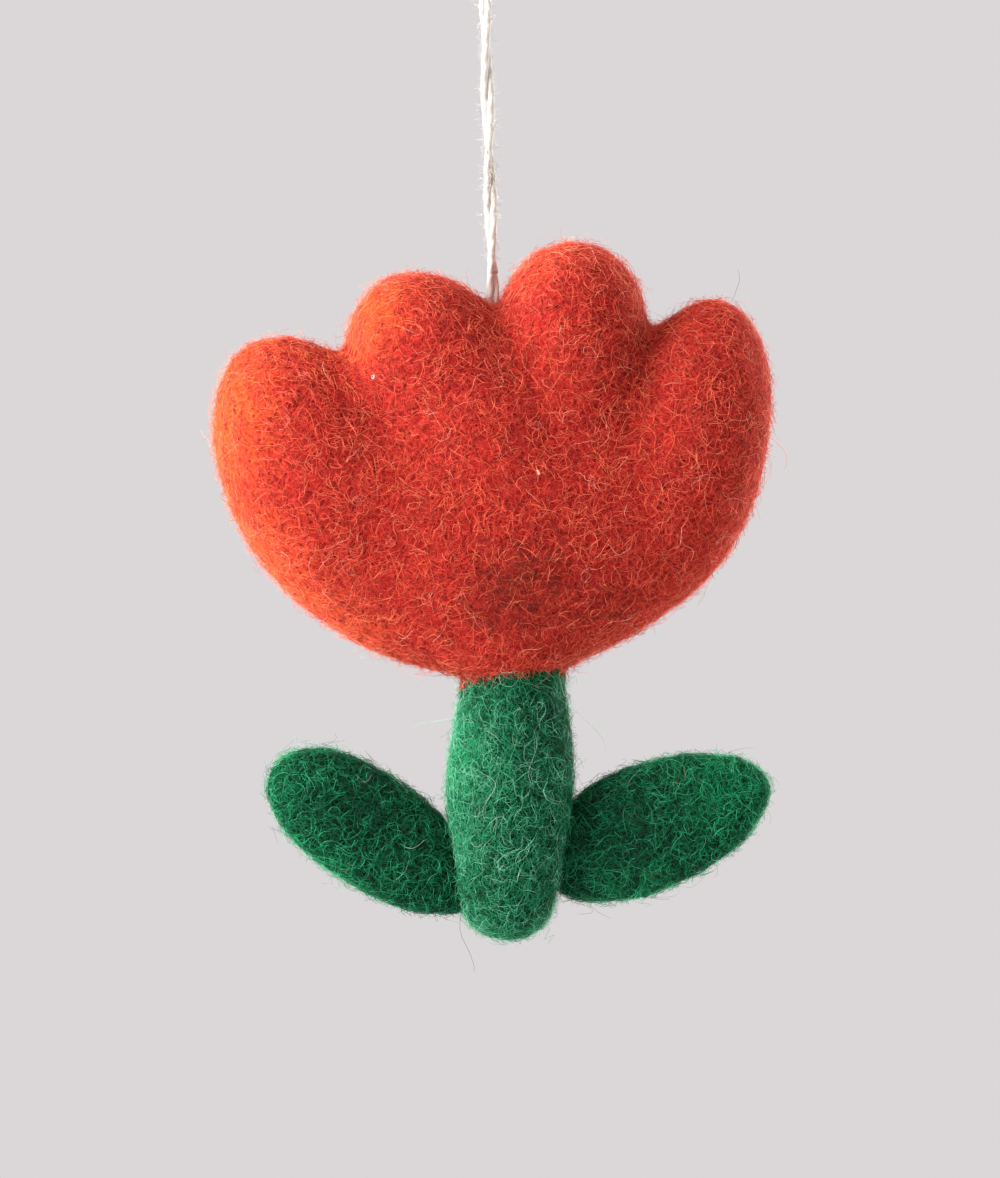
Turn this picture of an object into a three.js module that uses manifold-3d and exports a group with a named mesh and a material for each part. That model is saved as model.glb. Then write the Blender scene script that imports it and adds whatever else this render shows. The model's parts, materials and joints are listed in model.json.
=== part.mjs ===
// Needle-felted flower ornament that hangs from a doubled cotton string.
// Millimetres, +Z up. The origin is the top of the string's loop, where a hook carries it, and the
// flower faces -Y.
import Module from 'manifold-3d';
import * as THREE from 'three';
import { mergeVertices } from 'three/addons/utils/BufferGeometryUtils.js';

const wasm = await Module();
wasm.setup();

// Gap between pieces that are felted, pressed or tied against each other
const SEAM_GAP = 0.3;

// String: one length, doubled, its two legs laid round each other below an open eye
const STRING_DIAMETER = 0.85;
const LOOP_DROP = 84;
const EYE_HEIGHT = 24;
const EYE_WIDTH = 11;
const HALF_TURNS = 4;
const NOD_DEGREES = 60;
const NOD_RISE = 2;

// Knot that holds the string inside the flower
const KNOT_DEPTH = 14;
const KNOT_RADIUS = 1.6;

// Flower: a bowl, a collar and petals, drawn as ellipses that run together, plumped up to the front and the
// back. across and below place an ellipse's middle from the string's notch, and length runs along its lean
// in degrees from +X. The flower reaches its full thickness RIM_WIDTH in from its outline. PLUMPNESS 2
// rounds the rim as an ellipse does, and more makes it fuller.
const CREASE_RADIUS = 1.15;
const PLUMPNESS = 2.5;
const RIM_WIDTH = 24.5;
const HEART_BELOW = 28;
const FLOWER_THICKNESS = 28;
const FLOWER_COVER_THICKNESS = 3;
const BOWL = { across: 0.45, below: 28.6, length: 64, width: 48.6, lean: 5.3 };
const COLLAR = { across: 0.6, below: 48.5, length: 20, width: 10.5, lean: 0 };
const PETALS = {
  outer_left: { across: -25.85, below: 23.45, length: 42, width: 26.5, lean: 113.8 },
  inner_left: { across: -9.45, below: 7.2, length: 25.7, width: 22.2, lean: 126.5 },
  inner_right: { across: 11.15, below: 2.4, length: 22.4, width: 21, lean: 84.6 },
  outer_right: { across: 27.55, below: 20.2, length: 41.8, width: 22.3, lean: 76.5 },
};

// Stem: a felted roll with a rounded foot, a narrow waist between the leaves, a belly above them and a neck
const STEM_ACROSS = 1.4;
const STEM_LEAN = 3.2;
const STEM_LENGTH = 36.8;
const STEM_NECK_DIAMETER = 15.6;
const STEM_BELLY_DIAMETER = 18.8;
const STEM_BELLY_DROP = 14.2;
const STEM_WAIST_DIAMETER = 15.8;
const STEM_WAIST_DROP = 27.6;
const STEM_FOOT_DIAMETER = 14;
const STEM_FOOT_ROUND = 5.5;
const STEM_COVER_THICKNESS = 2.5;
const SOCKET_DEPTH = 4;
const TENON_LENGTH = 4;
const TENON_ROUND = 1.5;

// Leaves: flat eggs felted into the stem's sides. A leaf's line starts on the stem's axis, rise over the
// foot, and climbs by tilt towards the tip. The egg begins LEAF_ROOT along that line and lies LEAF_BACK
// behind the axis. forward turns the tip to the front, and swell widens the tip half and narrows the root
// half.
const LEAF_ROOT = 4.4;
const LEAF_BACK = 3.5;
const LEAVES = {
  left_leaf: {
    side: -1, rise: 3.5, length: 35.8, width: 16.8, thickness: 10.5, tilt: 31.5, forward: 10, swell: 0.1,
  },
  right_leaf: {
    side: 1, rise: 8.2, length: 36.2, width: 18.7, thickness: 10.5, tilt: 23.4, forward: 8, swell: -0.06,
  },
};

// Facets
const PETAL_SEGMENTS = [84, 18];
const CORE_SEGMENTS = [44, 12];
const LEAF_SEGMENTS = [24, 12];
const STEM_SEGMENTS = 24;
const STRING_SIDES = 8;
const STRING_STEPS_PER_DIAMETER = 0.45;

const felt = (color) => new THREE.MeshStandardMaterial({ color, roughness: 0.95, metalness: 0 });
const RED_FELT = felt(0xcf3a1f);
const GREEN_FELT = felt(0x10693f);
const RAW_WOOL = felt(0xe6ddc8);
const COTTON = felt(0xf3ece0);

// Solids

function toSolid(geometry) {
  const bare = geometry.clone();
  bare.deleteAttribute('normal');
  bare.deleteAttribute('uv');
  const merged = mergeVertices(bare, 1e-4);
  return new wasm.Manifold(new wasm.Mesh({
    numProp: 3,
    vertProperties: new Float32Array(merged.attributes.position.array),
    triVerts: new Uint32Array(merged.index.array),
  }));
}

function toGeometry(solid) {
  const { vertProperties, triVerts } = solid.getMesh();
  const geometry = new THREE.BufferGeometry();
  geometry.setAttribute('position', new THREE.BufferAttribute(vertProperties, 3));
  geometry.setIndex(new THREE.BufferAttribute(triVerts, 1));
  geometry.computeVertexNormals();
  return geometry;
}

function piece(name, geometry, material) {
  const mesh = new THREE.Mesh(geometry, material);
  mesh.name = name;
  return mesh;
}

// A tube with flat ends along a curve, its faces turned outwards
function tube(path, diameter) {
  const section = new THREE.Shape();
  for (let side = 0; side < STRING_SIDES; side += 1) {
    const angle = (2 * Math.PI * side) / STRING_SIDES;
    const corner = [Math.cos(angle) * diameter / 2, Math.sin(angle) * diameter / 2];
    if (side === 0) section.moveTo(...corner);
    else section.lineTo(...corner);
  }
  section.closePath();
  const steps = Math.round(path.getLength() / diameter * STRING_STEPS_PER_DIAMETER);
  return new THREE.ExtrudeGeometry(section, { steps, extrudePath: path, bevelEnabled: false });
}

// A solid of revolution about Z from points of radius and height that start and end on the axis
function turned(points) {
  return new THREE.LatheGeometry(points, STEM_SEGMENTS).rotateX(Math.PI / 2);
}

function rod(radius, bottom, top) {
  const height = top - bottom;
  const geometry = new THREE.CylinderGeometry(radius, radius, height, STEM_SEGMENTS);
  return geometry.rotateX(Math.PI / 2).translate(0, 0, bottom + height / 2);
}

// Flower

// The flower's ellipses and its half thickness, drawn in all round by inset
function feltForm(inset) {
  const ellipses = [BOWL, COLLAR, ...Object.values(PETALS)].map((ellipse) => ({
    middle: new THREE.Vector2(ellipse.across, -ellipse.below),
    halves: new THREE.Vector2(ellipse.length, ellipse.width).divideScalar(2).subScalar(inset),
    lean: THREE.MathUtils.degToRad(ellipse.lean),
  }));
  return { ellipses, halfThickness: FLOWER_THICKNESS / 2 - inset };
}

// Depth of a place outside the outline of the blended ellipses, negative inside
function outlineDepth(ellipses, across, up) {
  const sum = ellipses.reduce((total, { middle, halves, lean }) => {
    const place = new THREE.Vector2(across, up).rotateAround(middle, -lean).sub(middle).divide(halves);
    const depth = (place.length() - 1) * Math.min(halves.x, halves.y);
    return total + Math.exp(-depth / CREASE_RADIUS);
  }, 0);
  return -CREASE_RADIUS * Math.log(sum);
}

// How far out a point lies: less than 1 inside the felt, and 1 on its surface
function feltShare({ ellipses, halfThickness }, point) {
  const rim = Math.max(1 + outlineDepth(ellipses, point.x, point.z) / RIM_WIDTH, 0);
  return (rim ** PLUMPNESS + (Math.abs(point.y) / halfThickness) ** PLUMPNESS) ** (1 / PLUMPNESS);
}

// Where a ray from inside the felt last leaves it
function feltSurface(form, origin, direction) {
  const SEARCH_STEP = 0.5;
  const HALVINGS = 20;
  const at = (distance) => origin.clone().addScaledVector(direction, distance);
  const farthest = Math.max(...form.ellipses.map(({ middle, halves }) => middle.length() + halves.length()));
  let outside = origin.length() + farthest;
  while (feltShare(form, at(outside - SEARCH_STEP)) > 1) outside -= SEARCH_STEP;
  let inside = outside - SEARCH_STEP;
  for (let halving = 0; halving < HALVINGS; halving += 1) {
    const middle = (inside + outside) / 2;
    if (feltShare(form, at(middle)) > 1) outside = middle;
    else inside = middle;
  }
  return at(inside);
}

const HEART = new THREE.Vector3(0, 0, -HEART_BELOW);

// Rays leave the heart closer together towards the flower's thin rim
function flowerSurface(segments, inset) {
  const form = feltForm(inset);
  const flatness = FLOWER_THICKNESS / BOWL.length;
  const geometry = new THREE.SphereGeometry(1, ...segments);
  const { position } = geometry.attributes;
  for (let index = 0; index < position.count; index += 1) {
    const direction = new THREE.Vector3().fromBufferAttribute(position, index);
    direction.y *= flatness;
    direction.normalize();
    position.setXYZ(index, ...feltSurface(form, HEART, direction));
  }
  return geometry;
}

const OUTSIDE = feltForm(0);
const UP = new THREE.Vector3(0, 0, 1);
const NOTCH = feltSurface(OUTSIDE, HEART, UP);
const OVER_STEM = new THREE.Vector3(STEM_ACROSS, 0, HEART.z);
const UNDERSIDE = feltSurface(OUTSIDE, OVER_STEM, UP.clone().negate());

// Stem outlines, as points of radius and height, with height 0 where the stem enters the flower

const STEM_OUTLINE = (() => {
  const foot = new THREE.EllipseCurve(
    0, STEM_FOOT_ROUND - STEM_LENGTH, STEM_FOOT_DIAMETER / 2, STEM_FOOT_ROUND, -Math.PI / 2, 0,
  );
  const side = new THREE.SplineCurve([
    new THREE.Vector2(STEM_FOOT_DIAMETER / 2, STEM_FOOT_ROUND - STEM_LENGTH),
    new THREE.Vector2(STEM_WAIST_DIAMETER / 2, -STEM_WAIST_DROP),
    new THREE.Vector2(STEM_BELLY_DIAMETER / 2, -STEM_BELLY_DROP),
    new THREE.Vector2(STEM_NECK_DIAMETER / 2, 0),
    new THREE.Vector2(STEM_NECK_DIAMETER / 2, SOCKET_DEPTH),
  ]);
  const FOOT_POINTS = 4;
  const SIDE_POINTS = 10;
  return [...foot.getPoints(FOOT_POINTS), ...side.getPoints(SIDE_POINTS).slice(1)];
})();

// The outline moved out by a distance, with its first point kept on the axis and its top lifted to a height
function movedOutline(distance, top) {
  const points = STEM_OUTLINE.map((point, index) => {
    const before = STEM_OUTLINE[Math.max(index - 1, 0)];
    const after = STEM_OUTLINE[Math.min(index + 1, STEM_OUTLINE.length - 1)];
    const along = after.clone().sub(before).normalize();
    return new THREE.Vector2(point.x + along.y * distance, point.y - along.x * distance);
  });
  points[0].set(0, -STEM_LENGTH - distance);
  points[points.length - 1].y = top;
  return points;
}

const TENON_TOP = SOCKET_DEPTH + TENON_LENGTH;

function tenonPoints(radius, top) {
  return [
    new THREE.Vector2(radius, top - TENON_ROUND),
    new THREE.Vector2(radius - TENON_ROUND, top),
    new THREE.Vector2(0, top),
  ];
}

function stemCover() {
  const inner = movedOutline(-STEM_COVER_THICKNESS, SOCKET_DEPTH);
  return turned([...STEM_OUTLINE, ...inner.reverse()]);
}

function stemCore() {
  const outline = movedOutline(-STEM_COVER_THICKNESS - SEAM_GAP, SOCKET_DEPTH);
  return turned([...outline, ...tenonPoints(outline.at(-1).x, TENON_TOP)]);
}

// The room that the stem takes up in the flower and in the leaves
function stemRoom() {
  const tenonRadius = STEM_NECK_DIAMETER / 2 - STEM_COVER_THICKNESS;
  const outline = movedOutline(SEAM_GAP, SOCKET_DEPTH + SEAM_GAP);
  const shoulder = new THREE.Vector2(tenonRadius, SOCKET_DEPTH + SEAM_GAP);
  return turned([...outline, shoulder, ...tenonPoints(tenonRadius, TENON_TOP + SEAM_GAP)]);
}

function leafForm({ side, rise, length, width, thickness, tilt, forward, swell }) {
  const geometry = new THREE.SphereGeometry(1, ...LEAF_SEGMENTS);
  const { position } = geometry.attributes;
  for (let index = 0; index < position.count; index += 1) {
    const along = position.getX(index);
    const wider = 1 + swell * along;
    position.setXYZ(
      index,
      LEAF_ROOT + (1 + along) * length / 2,
      position.getY(index) * thickness / 2,
      position.getZ(index) * wider * width / 2,
    );
  }
  const heading = side > 0 ? -forward : 180 + forward;
  geometry.rotateY(THREE.MathUtils.degToRad(-tilt));
  geometry.rotateZ(THREE.MathUtils.degToRad(heading));
  return geometry.translate(0, LEAF_BACK, rise - STEM_LENGTH);
}

// String route: z is measured from the top of the loop

const STRAND_SPACING = STRING_DIAMETER + SEAM_GAP;
const PAIR_RADIUS = STRAND_SPACING / 2 + STRING_DIAMETER / 2;
const NOD_HEIGHT = NOD_RISE - LOOP_DROP;
// The cut ends at the nod pivot clear each other up to the nod's limit
const NOD_WEDGE = Math.tan(THREE.MathUtils.degToRad(NOD_DEGREES / 2)) * STRING_DIAMETER / 2;
const NOD_HALF_GAP = NOD_WEDGE + SEAM_GAP / 10;
const THROAT_HEIGHT = -EYE_HEIGHT;

// One leg of the laid pair, from the nod pivot up to the throat, straight for a diameter at both ends
class LaidLeg extends THREE.Curve {
  constructor(side) {
    super();
    this.side = side;
    this.bottom = NOD_HEIGHT + NOD_HALF_GAP;
    this.top = THROAT_HEIGHT - SEAM_GAP / 2;
  }

  getPoint(share, target = new THREE.Vector3()) {
    const height = this.bottom + share * (this.top - this.bottom);
    const laid = this.top - this.bottom - 2 * STRING_DIAMETER;
    const turned = THREE.MathUtils.clamp((height - this.bottom - STRING_DIAMETER) / laid, 0, 1);
    const angle = turned * HALF_TURNS * Math.PI;
    const reach = this.side * STRAND_SPACING / 2;
    return target.set(reach * Math.cos(angle), reach * Math.sin(angle), height);
  }
}

// The open eye, as shares of its half width and its height, from the left end of the throat to the right end
const EYE_ROUTE = [[0.42, 0.72], [0.86, 0.46], [1, 0.26], [0.78, 0.08]];

function eyePath() {
  const low = THROAT_HEIGHT + SEAM_GAP / 2;
  const ends = [[STRAND_SPACING / 2, low], [STRAND_SPACING / 2, low + STRING_DIAMETER]];
  const sides = EYE_ROUTE.map(([wide, down]) => [wide * EYE_WIDTH / 2, -down * EYE_HEIGHT]);
  const right = [...ends, ...sides].map(([x, z]) => new THREE.Vector3(x, 0, z));
  const left = right.map((point) => new THREE.Vector3(-point.x, 0, point.z));
  const crown = new THREE.Vector3(0, 0, STRING_DIAMETER / 2);
  return new THREE.CatmullRomCurve3([...left, crown, ...right.reverse()]);
}

// The buried ends: both legs run straight down into a knot drawn up tight
function anchorKnot() {
  const KNOT_STEPS = 54;
  const KNOT_SIDES = 6;
  const stubTop = NOD_HEIGHT - NOD_HALF_GAP;
  const stubs = [-1, 1].map((side) => {
    const across = side * STRAND_SPACING / 2;
    const run = new THREE.LineCurve3(
      new THREE.Vector3(across, 0, -LOOP_DROP - KNOT_DEPTH),
      new THREE.Vector3(across, 0, stubTop),
    );
    return toSolid(tube(run, STRING_DIAMETER));
  });
  const knot = new THREE.TorusKnotGeometry(KNOT_RADIUS, STRING_DIAMETER / 2, KNOT_STEPS, KNOT_SIDES);
  knot.translate(0, 0, -LOOP_DROP - KNOT_DEPTH);
  return toGeometry(toSolid(knot).add(stubs[0]).add(stubs[1]));
}

// Channel and chamber that the string and its knot press into the felt, in the flower's own frame
function stringRoom() {
  const chamberRadius = 1.5 * KNOT_RADIUS + STRING_DIAMETER / 2 + SEAM_GAP;
  const chamberHalf = KNOT_RADIUS / 2 + STRING_DIAMETER / 2 + SEAM_GAP;
  const middle = NOTCH.z - KNOT_DEPTH;
  const tallest = Math.max(...OUTSIDE.ellipses.map(({ middle: at, halves }) => at.y + halves.length()));
  const channel = toSolid(rod(PAIR_RADIUS + SEAM_GAP, middle, tallest));
  return channel.add(toSolid(rod(chamberRadius, middle - chamberHalf, middle + chamberHalf)));
}

// Assembly

const ornament = new THREE.Group();

ornament.add(piece('loop_eye', tube(eyePath(), STRING_DIAMETER), COTTON));
ornament.add(piece('string_leg_left', tube(new LaidLeg(-1), STRING_DIAMETER), COTTON));
ornament.add(piece('string_leg_right', tube(new LaidLeg(1), STRING_DIAMETER), COTTON));
ornament.add(piece('anchor_knot', anchorKnot(), COTTON));

// The flower's notch hangs at the string's foot
const flower = new THREE.Group();
flower.position.z = -LOOP_DROP - NOTCH.z;
ornament.add(flower);

const stem = new THREE.Group();
stem.position.set(STEM_ACROSS, 0, UNDERSIDE.z);
stem.rotation.y = THREE.MathUtils.degToRad(STEM_LEAN);
stem.updateMatrix();
flower.add(stem);

const room = toSolid(stemRoom());
const socket = toSolid(stemRoom().applyMatrix4(stem.matrix));
const channel = stringRoom();
const cavity = toSolid(flowerSurface(CORE_SEGMENTS, FLOWER_COVER_THICKNESS));
const filling = toSolid(flowerSurface(CORE_SEGMENTS, FLOWER_COVER_THICKNESS + SEAM_GAP));
const cover = toSolid(flowerSurface(PETAL_SEGMENTS, 0)).subtract(cavity);
const cutForPieces = (solid) => toGeometry(solid.subtract(channel).subtract(socket));
flower.add(piece('flower_cover', cutForPieces(cover), RED_FELT));
flower.add(piece('flower_core', cutForPieces(filling), RAW_WOOL));

stem.add(piece('stem_cover', stemCover(), GREEN_FELT));
stem.add(piece('stem_core', stemCore(), RAW_WOOL));
for (const [name, leaf] of Object.entries(LEAVES)) {
  stem.add(piece(name, toGeometry(toSolid(leafForm(leaf)).subtract(room)), GREEN_FELT));
}

export default ornament;
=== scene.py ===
"""Looks of a felt flower ornament: plump wool shapes, a coat of loose fibres and a cotton string."""

import json
import logging
import math
from dataclasses import dataclass, replace
from enum import Enum

import bpy
import numpy as np
from mathutils import Matrix, Vector
from mathutils.bvhtree import BVHTree

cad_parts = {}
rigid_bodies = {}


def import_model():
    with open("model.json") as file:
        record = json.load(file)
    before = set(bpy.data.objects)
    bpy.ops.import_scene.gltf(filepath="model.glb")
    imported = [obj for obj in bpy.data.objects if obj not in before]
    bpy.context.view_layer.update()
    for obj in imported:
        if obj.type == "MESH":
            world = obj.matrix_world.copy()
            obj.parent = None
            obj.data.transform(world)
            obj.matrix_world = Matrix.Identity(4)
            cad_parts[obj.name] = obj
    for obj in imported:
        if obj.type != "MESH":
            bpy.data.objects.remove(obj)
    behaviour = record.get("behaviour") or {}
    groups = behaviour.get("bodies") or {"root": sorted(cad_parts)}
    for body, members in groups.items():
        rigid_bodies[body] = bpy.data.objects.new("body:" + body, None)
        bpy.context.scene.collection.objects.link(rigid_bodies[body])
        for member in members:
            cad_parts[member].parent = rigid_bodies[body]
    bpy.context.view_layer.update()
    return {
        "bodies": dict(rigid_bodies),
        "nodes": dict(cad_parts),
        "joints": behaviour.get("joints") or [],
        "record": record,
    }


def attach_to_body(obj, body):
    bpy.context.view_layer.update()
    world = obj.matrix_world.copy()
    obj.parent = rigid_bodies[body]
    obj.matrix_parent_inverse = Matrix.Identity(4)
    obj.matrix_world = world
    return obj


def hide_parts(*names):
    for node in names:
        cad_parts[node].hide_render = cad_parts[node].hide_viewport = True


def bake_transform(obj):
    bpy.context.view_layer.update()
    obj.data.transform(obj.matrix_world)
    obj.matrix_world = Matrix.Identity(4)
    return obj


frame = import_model()

LOG = logging.getLogger("felt_flower")
MM = 0.001
STRING_SEED = 3
ANCHOR_SEED = 4
FUZZ_SEED = 5
HEM_SEED = 41

Colour = tuple[float, float, float, float]
Place = tuple[float, float, float]
Span = tuple[float, float]
Piece = bpy.types.Object
Material = bpy.types.Material
Socket = bpy.types.NodeSocket
Rows = np.ndarray
Chance = np.random.Generator


def linear(red: int, green: int, blue: int) -> Colour:
    """Turns a screen colour, from 0 to 255, into opaque linear light."""
    shares = [value / 255 for value in (red, green, blue)]
    return (*(s / 12.92 if s <= 0.04045 else ((s + 0.055) / 1.055) ** 2.4 for s in shares), 1.0)


class Body(Enum):
    """The rigid bodies that pieces ride on."""

    HANGER = "hanger"
    STRING = "string"
    ORNAMENT = "ornament"


class Slot(Enum):
    """The record's names for the finishes."""

    COTTON = "cotton_string"
    RED = "red_felt"
    WOOL = "raw_wool"
    STEM = "stem_green_felt"
    LEAF = "leaf_green_felt"


class Graph:
    """A node tree that is filled node by node."""

    def __init__(self, tree: bpy.types.NodeTree) -> None:
        """Takes a tree and clears it."""
        self.tree = tree
        self.tree.nodes.clear()

    def node(self, kind: str, values: dict | None = None, **settings: object) -> bpy.types.Node:
        """Adds one node.

        Args:
            kind: The node's type.
            values: Input name or number to a plain value, or to the socket that feeds it.
            settings: Properties of the node itself.

        Returns:
            The node.
        """
        made = self.tree.nodes.new(kind)
        for name, setting in settings.items():
            setattr(made, name, setting)
        for name, value in (values or {}).items():
            if isinstance(value, Socket):
                self.tree.links.new(value, made.inputs[name])
            else:
                made.inputs[name].default_value = value
        return made

    def math(self, operation: str, *values: object) -> Socket:
        """Adds a Math node on numbers or sockets, and gives its result."""
        return self.node("ShaderNodeMath", dict(enumerate(values)), operation=operation).outputs[0]

    def mix(self, share: object, first: object, second: object) -> Socket:
        """Adds a mix of two colours, the second one by its share, and gives the result."""
        return self.node("ShaderNodeMix", {0: share, 6: first, 7: second}, data_type="RGBA").outputs[2]

    def between(self, value: Socket, low: float, high: float, ends: Span) -> Socket:
        """Adds a smooth map of the range from low to high onto two ends, and gives the result."""
        values = {0: value, 1: low, 2: high, 3: ends[0], 4: ends[1]}
        return self.node("ShaderNodeMapRange", values, interpolation_type="SMOOTHSTEP").outputs[0]

    def noise(self, place: Socket, scale: object, detail: float, **more: float) -> Socket:
        """Adds noise.

        Args:
            place: The place on the piece.
            scale: Its scale, as a number or a socket.
            detail: Its detail.
            more: Other inputs by name. W gives it a fourth dimension.

        Returns:
            The noise's height.
        """
        values = {"Vector": place, "Scale": scale, "Detail": detail, **more}
        dimensions = "4D" if "W" in more else "3D"
        return self.node("ShaderNodeTexNoise", values, noise_dimensions=dimensions).outputs[0]

    def bump(self, height: Socket, strength: float, distance: float) -> Socket:
        """Adds bumps as high as the distance in millimetres, and gives the bent normal."""
        values = {"Height": height, "Strength": strength, "Distance": distance * MM}
        return self.node("ShaderNodeBump", values).outputs[0]

    def surface(self, values: dict[str, object]) -> None:
        """Ends a material with a Principled shader that has the given inputs."""
        shader = self.node("ShaderNodeBsdfPrincipled", values)
        self.node("ShaderNodeOutputMaterial", {"Surface": shader.outputs[0]})

    def seen_directly(self) -> Socket:
        """Adds the mask of the rays that show the surroundings, straight or by way of a mirror or glass.

        Returns:
            1 on those rays, and 0 on rays of scattered light.
        """
        path = self.node("ShaderNodeLightPath")
        seen = self.math("MAXIMUM", path.outputs["Is Camera Ray"], path.outputs["Is Glossy Ray"])
        return self.math("MAXIMUM", seen, path.outputs["Is Transmission Ray"])


def start_material(name: str) -> tuple[Material, Graph, Socket]:
    """Starts a material.

    Args:
        name: Its name.

    Returns:
        The material, its graph and the place on the piece.
    """
    made = bpy.data.materials.new(name)
    made.use_nodes = True
    graph = Graph(made.node_tree)
    return made, graph, graph.node("ShaderNodeTexCoord").outputs["Object"]


class SurfaceEffects:
    """Shared surface effects, each built once as a node group."""

    STRAND_SEEDS = (1.3, 5.9, 11.7, 17.1)
    TATTER_SCALE = 420.0

    def __init__(self) -> None:
        """Builds the groups."""
        self.strands = self._strands()
        self.patch = self._patch()

    @staticmethod
    def _new(name: str, inputs: dict[str, str], *outputs: str) -> tuple[Graph, dict, bpy.types.Node]:
        """Starts a group.

        Args:
            name: The group's name.
            inputs: Input name to socket type.
            outputs: Names of the values that it puts out.

        Returns:
            The graph to fill, its inputs by name and its output node.
        """
        tree = bpy.data.node_groups.new(name, "ShaderNodeTree")
        graph = Graph(tree)
        for label, kind in inputs.items():
            tree.interface.new_socket(label, in_out="INPUT", socket_type=kind)
        for label in outputs:
            tree.interface.new_socket(label, in_out="OUTPUT", socket_type="NodeSocketFloat")
        return graph, graph.node("NodeGroupInput").outputs, graph.node("NodeGroupOutput")

    def _strands(self) -> bpy.types.NodeTree:
        """Draws matted fibres as thin, broken level lines of noise in crossing layers.

        Returns:
            The group, with a mask of dull strands, one of bright strands and a value for pits in the mat.
        """
        inputs = {"Vector": "NodeSocketVector", "Scale": "NodeSocketFloat"}
        graph, given, result = self._new("matted_strands", inputs, "Dull", "Bright", "Pits")
        place, scale = given["Vector"], given["Scale"]
        lines = []
        for seed in self.STRAND_SEEDS:
            level = graph.math("SUBTRACT", graph.noise(place, scale, 1.5, W=seed), 0.5)
            line = graph.between(graph.math("ABSOLUTE", level), 0.0, 0.04, (1.0, 0.0))
            kept = graph.between(graph.noise(place, scale, 0.0, W=seed + 2), 0.38, 0.52, (0.0, 1.0))
            lines.append(graph.math("MULTIPLY", line, kept))
        graph.tree.links.new(graph.math("MAXIMUM", lines[0], lines[1]), result.inputs["Dull"])
        graph.tree.links.new(graph.math("MAXIMUM", lines[2], lines[3]), result.inputs["Bright"])
        graph.tree.links.new(graph.noise(place, scale, 2.0, Roughness=0.6), result.inputs["Pits"])
        return graph.tree

    def _patch(self) -> bpy.types.NodeTree:
        """Draws a patch of colour, for dye and for painted light and shade: a ball with a ragged,
        feathered edge.

        Returns:
            The group, with the patch's mask.
        """
        inputs = {"Vector": "NodeSocketVector", "Centre": "NodeSocketVector", "Reach": "NodeSocketFloat"}
        graph, given, result = self._new("dye_and_light_patch", inputs, "Mask")
        ends = {0: given["Vector"], 1: given["Centre"]}
        away = graph.node("ShaderNodeVectorMath", ends, operation="DISTANCE").outputs["Value"]
        noise = graph.noise(given["Vector"], self.TATTER_SCALE, 4.0)
        ragged = graph.math("MULTIPLY", graph.math("SUBTRACT", noise, 0.5), 1.1)
        share = graph.math("ADD", graph.math("DIVIDE", away, given["Reach"]), ragged)
        graph.tree.links.new(graph.between(share, 0.2, 1.0, (1.0, 0.0)), result.inputs["Mask"])
        return graph.tree


@dataclass(frozen=True)
class DyeAndLightPatch:
    """A place where the wool's colour differs, in millimetres: another dye on the flower, painted light
    and painted shade on the stem and the leaves.

    The strength is that of the middle, and the tints are the numbers of the fibre tints that grow there.
    """

    centre: Place
    reach: float
    colour: Colour
    strength: float
    tints: tuple[int, ...]


@dataclass(frozen=True)
class FeltFinish:
    """Matted, dyed wool.

    Its colours are the painted shade of the hollows in the mat, that of most of the wool, of the strands
    on top and of the fuzz that light grazes. The patches are places with another dye, and places of
    painted light and shade.
    """

    slot: Slot
    # The deep colour is painted shade in the hollows of the mat.
    deep: Colour
    body: Colour
    strand: Colour
    rim: Colour
    patches: tuple[DyeAndLightPatch, ...] = ()
    FIBRE_SCALE = 1400.0

    def material(self, effects: SurfaceEffects) -> Material:
        """Builds the felt's material.

        Args:
            effects: The shared surface effects.

        Returns:
            The material.
        """
        made, graph, place = start_material(self.slot.value)
        values = {"Vector": place, "Scale": self.FIBRE_SCALE}
        mat = graph.node("ShaderNodeGroup", values, node_tree=effects.strands).outputs
        body = self.body
        # The patches mix in other dyes on the flower, and painted light and painted shade on the stem and
        # the leaves.
        for patch in self.patches:
            centre = [part * MM for part in patch.centre]
            values = {"Vector": place, "Centre": centre, "Reach": patch.reach * MM}
            mask = graph.node("ShaderNodeGroup", values, node_tree=effects.patch).outputs["Mask"]
            body = graph.mix(graph.math("MULTIPLY", mask, patch.strength), body, patch.colour)
        # Painted shade: the deep colour fills the mat's hollows, where the bump height is lowest.
        colour = graph.mix(graph.between(mat["Pits"], 0.32, 0.6, (0.0, 1.0)), self.deep, body)
        colour = graph.mix(graph.math("MULTIPLY", mat["Dull"], 0.55), colour, body)
        colour = graph.mix(graph.math("MULTIPLY", mat["Bright"], 0.6), colour, self.strand)
        lines = graph.math("MAXIMUM", mat["Dull"], mat["Bright"])
        height = graph.math("MULTIPLY_ADD", lines, 0.4, mat["Pits"])
        graph.surface(
            {
                "Base Color": colour,
                "Roughness": graph.between(lines, 0.0, 1.0, (0.95, 0.8)),
                "Normal": graph.bump(height, 0.6, 0.25),
                "Specular IOR Level": 0.1,
                "Sheen Weight": 0.3,
                "Sheen Roughness": 0.4,
                "Sheen Tint": self.rim,
            }
        )
        return made


@dataclass(frozen=True)
class FibreTint:
    """One tint of loose fibre, and how often it turns up among the fibres of its piece."""

    name: str
    colour: Colour
    share: float
    SCALE_SIZE = 4000.0

    def material(self) -> Material:
        """Builds the fibre's material: one dyed colour, with the uneven scales of wool in its gloss.

        Returns:
            The material.
        """
        made, graph, place = start_material(self.name)
        scales = graph.noise(place, self.SCALE_SIZE, 1.0)
        graph.surface(
            {
                "Base Color": self.colour,
                "Roughness": graph.between(scales, 0.3, 0.7, (0.4, 0.7)),
                "Normal": graph.bump(scales, 0.3, 0.02),
                "Specular IOR Level": 0.3,
                "Sheen Weight": 0.25,
                "Sheen Roughness": 0.5,
                "Sheen Tint": self.colour,
            }
        )
        return made


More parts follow.
